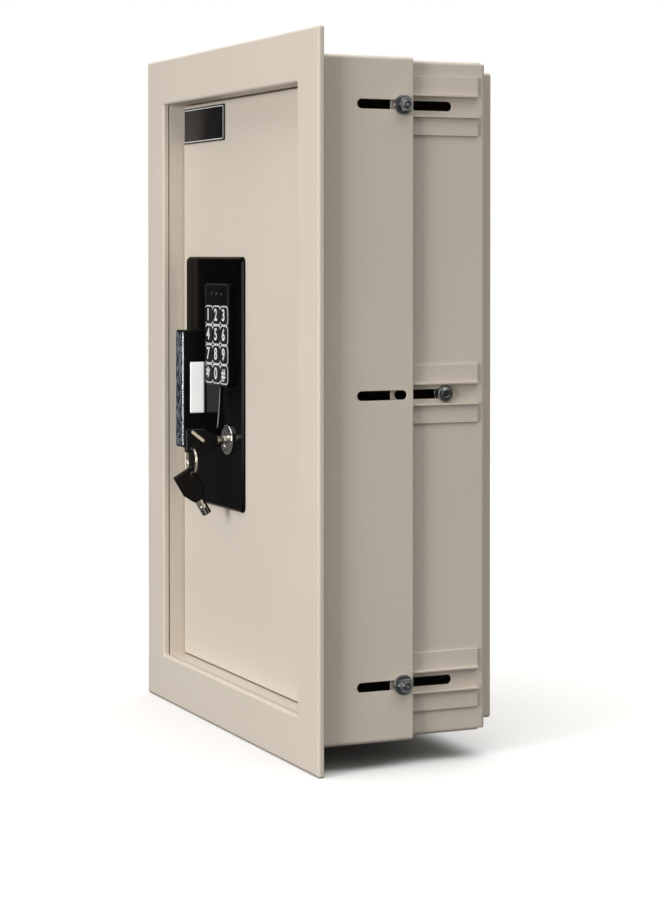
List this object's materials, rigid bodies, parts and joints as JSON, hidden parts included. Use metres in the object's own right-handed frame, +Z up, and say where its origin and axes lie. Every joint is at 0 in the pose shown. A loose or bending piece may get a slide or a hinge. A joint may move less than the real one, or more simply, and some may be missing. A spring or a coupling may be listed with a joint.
{
  "type": "wall safe",
  "caption": "Telescoping in-wall safe: trim flange, recessed door with keypad, pull handle and key lock, slotted front sleeve sliding over a railed rear sleeve.",
  "frame": {"origin": "middle of the trim flange, in the plane where the flange bears on the wall", "axes": "+X to the right seen from the front, +Y into the wall, +Z up"},
  "size_m": [0.381, 0.1896, 0.5618],
  "materials": {
    "powder_coat": "fine textured warm beige powder coat",
    "zinc_steel": "zinc plated",
    "bright_steel": "ground bright steel",
    "brass": "machined",
    "chrome": "polished",
    "gloss_black": "high gloss",
    "matte_black": "satin moulded",
    "key_rubber": "soft satin with a white printed figure",
    "handle_film": "textured grey film",
    "lens": "smoked lens",
    "circuit": "green laminate",
    "ribbon": "flat cable",
    "battery": "sleeved cells",
    "motor": "drawn can"
  },
  "bodies": {
    "case": {"front_flange": "powder_coat", "front_sleeve": "powder_coat", "door_jamb": "powder_coat", "hinge_pins": "bright_steel", "hinge_washers": "brass"},
    "clamps": {"clamp_bolts": "zinc_steel", "clamp_nuts": "zinc_steel"},
    "rear_case": {"rear_sleeve": "powder_coat", "guide_rails": "powder_coat", "back_panel": "powder_coat", "parked_bolts": "zinc_steel", "parked_nuts": "zinc_steel", "lower_shelf": "powder_coat", "upper_shelf": "powder_coat", "shelf_brackets": "powder_coat"},
    "door": {"door_panel": "powder_coat", "lock_panel": "gloss_black", "keypad_housing": "matte_black", "keypad_board": "circuit", "status_leds": "lens", "pull_handle": "matte_black", "handle_insert": "handle_film", "badge_plate": "gloss_black", "lock_cylinder": "chrome", "cylinder_nut": "zinc_steel", "bolt_guides": "zinc_steel", "gear_motor": "motor", "mounting_posts": "zinc_steel", "circuit_board": "circuit", "keypad_ribbon": "ribbon", "batteries": "battery", "battery_holder": "matte_black", "inner_cover": "powder_coat", "cover_screws": "zinc_steel"},
    "battery_door": {"battery_door": "matte_black"},
    "bolt_carriage": {"bolt_bar": "zinc_steel", "locking_bolts": "bright_steel", "bolt_nuts": "zinc_steel", "drive_rack": "zinc_steel"},
    "pinion": {"drive_pinion": "bright_steel"},
    "plug": {"lock_plug": "chrome", "lock_cam": "zinc_steel"},
    "key": {"inserted_key": "bright_steel", "inserted_key_head": "matte_black"},
    "ring": {"key_ring": "bright_steel"},
    "spare": {"spare_key": "bright_steel", "spare_key_head": "matte_black"},
    "key_1": {"key_1": "key_rubber"},
    "key_2": {"key_2": "key_rubber"},
    "key_3": {"key_3": "key_rubber"},
    "key_4": {"key_4": "key_rubber"},
    "key_5": {"key_5": "key_rubber"},
    "key_6": {"key_6": "key_rubber"},
    "key_7": {"key_7": "key_rubber"},
    "key_8": {"key_8": "key_rubber"},
    "key_9": {"key_9": "key_rubber"},
    "key_star": {"key_star": "key_rubber"},
    "key_0": {"key_0": "key_rubber"},
    "key_hash": {"key_hash": "key_rubber"}
  },
  "joints": [
    {"name": "depth_slide", "type": "slide", "parent": "case", "child": "rear_case", "axis": [0, -1, 0], "range_m": [0, 0.0508]},
    {"name": "clamp_slide", "type": "slide", "parent": "case", "child": "clamps", "axis": [0, -1, 0], "range_m": [0, 0.0254]},
    {"name": "door_hinge", "type": "hinge", "parent": "case", "child": "door", "pos_m": [0.143, 0.01787, 0], "axis": [0, 0, 1], "range_deg": [0, 95]},
    {"name": "bolt_slide", "type": "slide", "parent": "door", "child": "bolt_carriage", "axis": [-1, 0, 0], "range_m": [0, 0.014]},
    {"name": "pinion_spin", "type": "hinge", "parent": "door", "child": "pinion", "pos_m": [-0.062, 0.032, 0.02], "axis": [0, 1, 0], "range_deg": [0, 115]},
    {"name": "key_turn", "type": "hinge", "parent": "door", "child": "plug", "pos_m": [-0.033, 0, -0.04445], "axis": [0, 1, 0], "range_deg": [0, 90]},
    {"name": "key_pull", "type": "slide", "parent": "plug", "child": "key", "axis": [0, -1, 0], "range_m": [0, 0.02]},
    {"name": "ring_swing", "type": "hinge", "parent": "key", "child": "ring", "pos_m": [-0.033, -0.0215, -0.05025], "axis": [1, 0, 0], "range_deg": [-12, 10]},
    {"name": "spare_key_roll", "type": "hinge", "parent": "ring", "child": "spare", "pos_m": [-0.033, -0.0215, -0.06095], "axis": [0, 1, 0], "range_deg": [-90, 0]},
    {"name": "battery_door_slide", "type": "slide", "parent": "door", "child": "battery_door", "axis": [-1, 0, 0], "range_m": [0, 0.022]},
    {"name": "key_1_press", "type": "slide", "parent": "door", "child": "key_1", "axis": [0, 1, 0], "range_m": [0, 0.001], "stiffness_N_per_m": 800},
    {"name": "key_2_press", "type": "slide", "parent": "door", "child": "key_2", "axis": [0, 1, 0], "range_m": [0, 0.001], "stiffness_N_per_m": 800},
    {"name": "key_3_press", "type": "slide", "parent": "door", "child": "key_3", "axis": [0, 1, 0], "range_m": [0, 0.001], "stiffness_N_per_m": 800},
    {"name": "key_4_press", "type": "slide", "parent": "door", "child": "key_4", "axis": [0, 1, 0], "range_m": [0, 0.001], "stiffness_N_per_m": 800},
    {"name": "key_5_press", "type": "slide", "parent": "door", "child": "key_5", "axis": [0, 1, 0], "range_m": [0, 0.001], "stiffness_N_per_m": 800},
    {"name": "key_6_press", "type": "slide", "parent": "door", "child": "key_6", "axis": [0, 1, 0], "range_m": [0, 0.001], "stiffness_N_per_m": 800},
    {"name": "key_7_press", "type": "slide", "parent": "door", "child": "key_7", "axis": [0, 1, 0], "range_m": [0, 0.001], "stiffness_N_per_m": 800},
    {"name": "key_8_press", "type": "slide", "parent": "door", "child": "key_8", "axis": [0, 1, 0], "range_m": [0, 0.001], "stiffness_N_per_m": 800},
    {"name": "key_9_press", "type": "slide", "parent": "door", "child": "key_9", "axis": [0, 1, 0], "range_m": [0, 0.001], "stiffness_N_per_m": 800},
    {"name": "key_star_press", "type": "slide", "parent": "door", "child": "key_star", "axis": [0, 1, 0], "range_m": [0, 0.001], "stiffness_N_per_m": 800},
    {"name": "key_0_press", "type": "slide", "parent": "door", "child": "key_0", "axis": [0, 1, 0], "range_m": [0, 0.001], "stiffness_N_per_m": 800},
    {"name": "key_hash_press", "type": "slide", "parent": "door", "child": "key_hash", "axis": [0, 1, 0], "range_m": [0, 0.001], "stiffness_N_per_m": 800}
  ],
  "couplings": [
    {"joint": "clamp_slide", "follows": "depth_slide", "ratio": 0.5},
    {"joint": "pinion_spin", "follows": "bolt_slide", "rad_per_m": 142.86},
    {"joint": "spare_key_roll", "follows": "key_turn", "ratio": -1}
  ]
}
